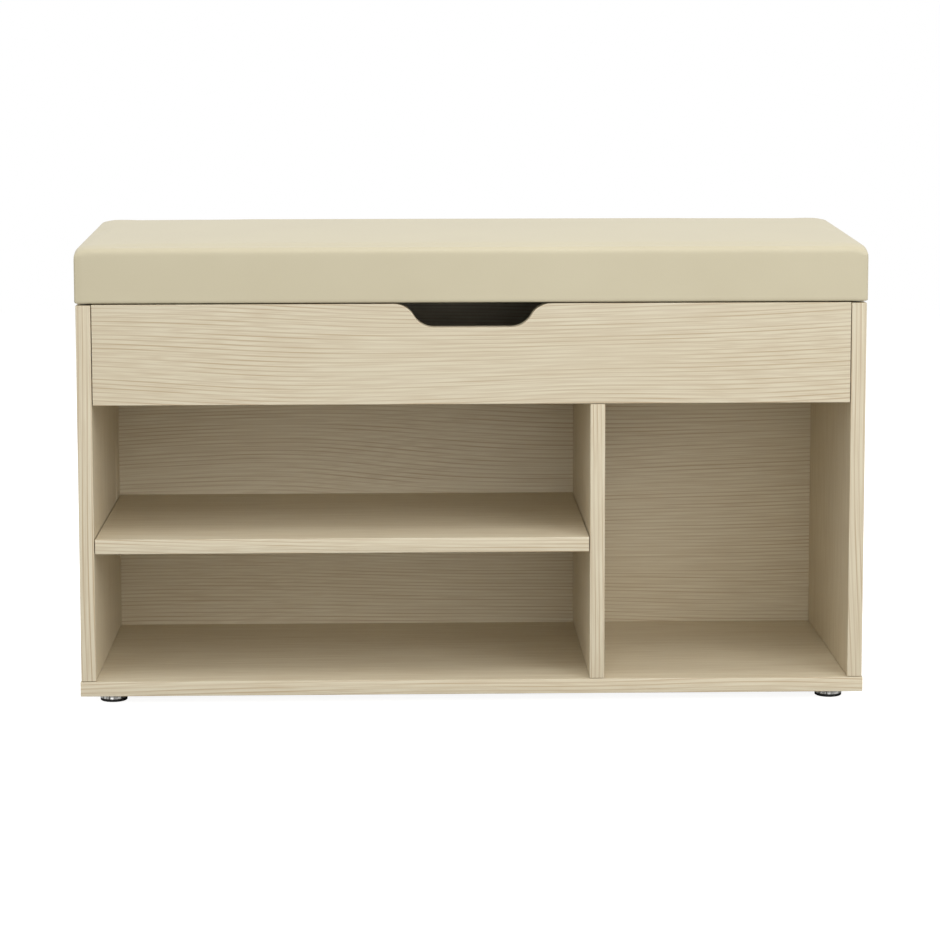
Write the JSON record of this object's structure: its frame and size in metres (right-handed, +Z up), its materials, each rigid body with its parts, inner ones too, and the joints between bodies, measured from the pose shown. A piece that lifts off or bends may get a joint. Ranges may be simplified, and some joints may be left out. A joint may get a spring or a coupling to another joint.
{
  "type": "bench",
  "caption": "Entryway bench: open shoe cabinet with a divider and a shelf, and a padded lid that flips up on rear hinges over a shallow compartment.",
  "frame": {"origin": "on the floor, under the middle of the bench's box", "axes": "+X to the right as seen from the front, +Y to the back, +Z up"},
  "size_m": [0.801, 0.3, 0.4772],
  "materials": {
    "laminate": "satin",
    "edge_strip": "satin",
    "hardboard": "matte",
    "particle_board": "raw",
    "chrome_plate": "polished",
    "black_rubber": "matte",
    "beech": "raw",
    "clear_buffer": "gloss",
    "zinc_casting": "cast",
    "foam": "matte",
    "faux_leather": "semi-matte, fine grain",
    "black_lining": "woven",
    "zinc_plated_steel": "bright zinc"
  },
  "bodies": {
    "cabinet": {"base_panel": "laminate", "left_side_panel": "laminate", "right_side_panel": "laminate", "divider_panel": "laminate", "fixed_shelf": "laminate", "front_apron": "laminate", "compartment_floor": "laminate", "hinge_rail": "laminate", "back_panel": "hardboard", "base_edging": "edge_strip", "left_side_edging": "edge_strip", "right_side_edging": "edge_strip", "divider_edging": "edge_strip", "shelf_edging": "edge_strip", "apron_edging": "edge_strip", "front_left_foot_cap": "chrome_plate", "front_right_foot_cap": "chrome_plate", "rear_left_foot_cap": "chrome_plate", "rear_right_foot_cap": "chrome_plate", "front_left_foot_pad": "black_rubber", "front_right_foot_pad": "black_rubber", "rear_left_foot_pad": "black_rubber", "rear_right_foot_pad": "black_rubber", "foot_screws": "zinc_plated_steel", "base_screws": "zinc_plated_steel", "cam_locks": "zinc_casting", "cam_bolts": "zinc_plated_steel", "wood_dowels": "beech", "lid_bumpers": "clear_buffer", "left_hinge_cabinet_leaf": "zinc_plated_steel", "right_hinge_cabinet_leaf": "zinc_plated_steel", "left_hinge_pin": "zinc_plated_steel", "right_hinge_pin": "zinc_plated_steel", "hinge_rail_screws": "zinc_plated_steel", "left_stay_side_bracket": "zinc_plated_steel", "right_stay_side_bracket": "zinc_plated_steel", "stay_side_screws": "zinc_plated_steel"},
    "lid": {"lid_board": "particle_board", "foam_pad": "foam", "seat_cover": "faux_leather", "lid_lining": "black_lining", "cover_staples": "zinc_plated_steel", "left_hinge_lid_leaf": "zinc_plated_steel", "right_hinge_lid_leaf": "zinc_plated_steel", "hinge_lid_screws": "zinc_plated_steel", "left_stay_lid_bracket": "zinc_plated_steel", "right_stay_lid_bracket": "zinc_plated_steel", "stay_lid_screws": "zinc_plated_steel"},
    "left_lower_arm": {"left_stay_lower_arm": "zinc_plated_steel", "left_stay_elbow_rivet": "zinc_plated_steel"},
    "left_upper_arm": {"left_stay_upper_arm": "zinc_plated_steel"},
    "right_lower_arm": {"right_stay_lower_arm": "zinc_plated_steel", "right_stay_elbow_rivet": "zinc_plated_steel"},
    "right_upper_arm": {"right_stay_upper_arm": "zinc_plated_steel"}
  },
  "joints": [
    {"name": "lid_hinge", "type": "hinge", "parent": "cabinet", "child": "lid", "pos_m": [0, 0.147, 0.4116], "axis": [-1, 0, 0], "range_deg": [0, 85]},
    {"name": "left_lower_arm_pivot", "type": "hinge", "parent": "cabinet", "child": "left_lower_arm", "pos_m": [0, 0.117, 0.3566], "axis": [-1, 0, 0], "range_deg": [0, 85]},
    {"name": "left_elbow_pivot", "type": "hinge", "parent": "left_lower_arm", "child": "left_upper_arm", "pos_m": [0, 0.042, 0.3476], "axis": [1, 0, 0], "range_deg": [0, 85]},
    {"name": "right_lower_arm_pivot", "type": "hinge", "parent": "cabinet", "child": "right_lower_arm", "pos_m": [0, 0.117, 0.3566], "axis": [-1, 0, 0], "range_deg": [0, 85]},
    {"name": "right_elbow_pivot", "type": "hinge", "parent": "right_lower_arm", "child": "right_upper_arm", "pos_m": [0, 0.042, 0.3476], "axis": [1, 0, 0], "range_deg": [0, 85]}
  ],
  "couplings": [
    {"joint": "left_lower_arm_pivot", "follows": "lid_hinge", "ratio": 1},
    {"joint": "left_elbow_pivot", "follows": "lid_hinge", "ratio": 1},
    {"joint": "right_lower_arm_pivot", "follows": "lid_hinge", "ratio": 1},
    {"joint": "right_elbow_pivot", "follows": "lid_hinge", "ratio": 1}
  ]
}
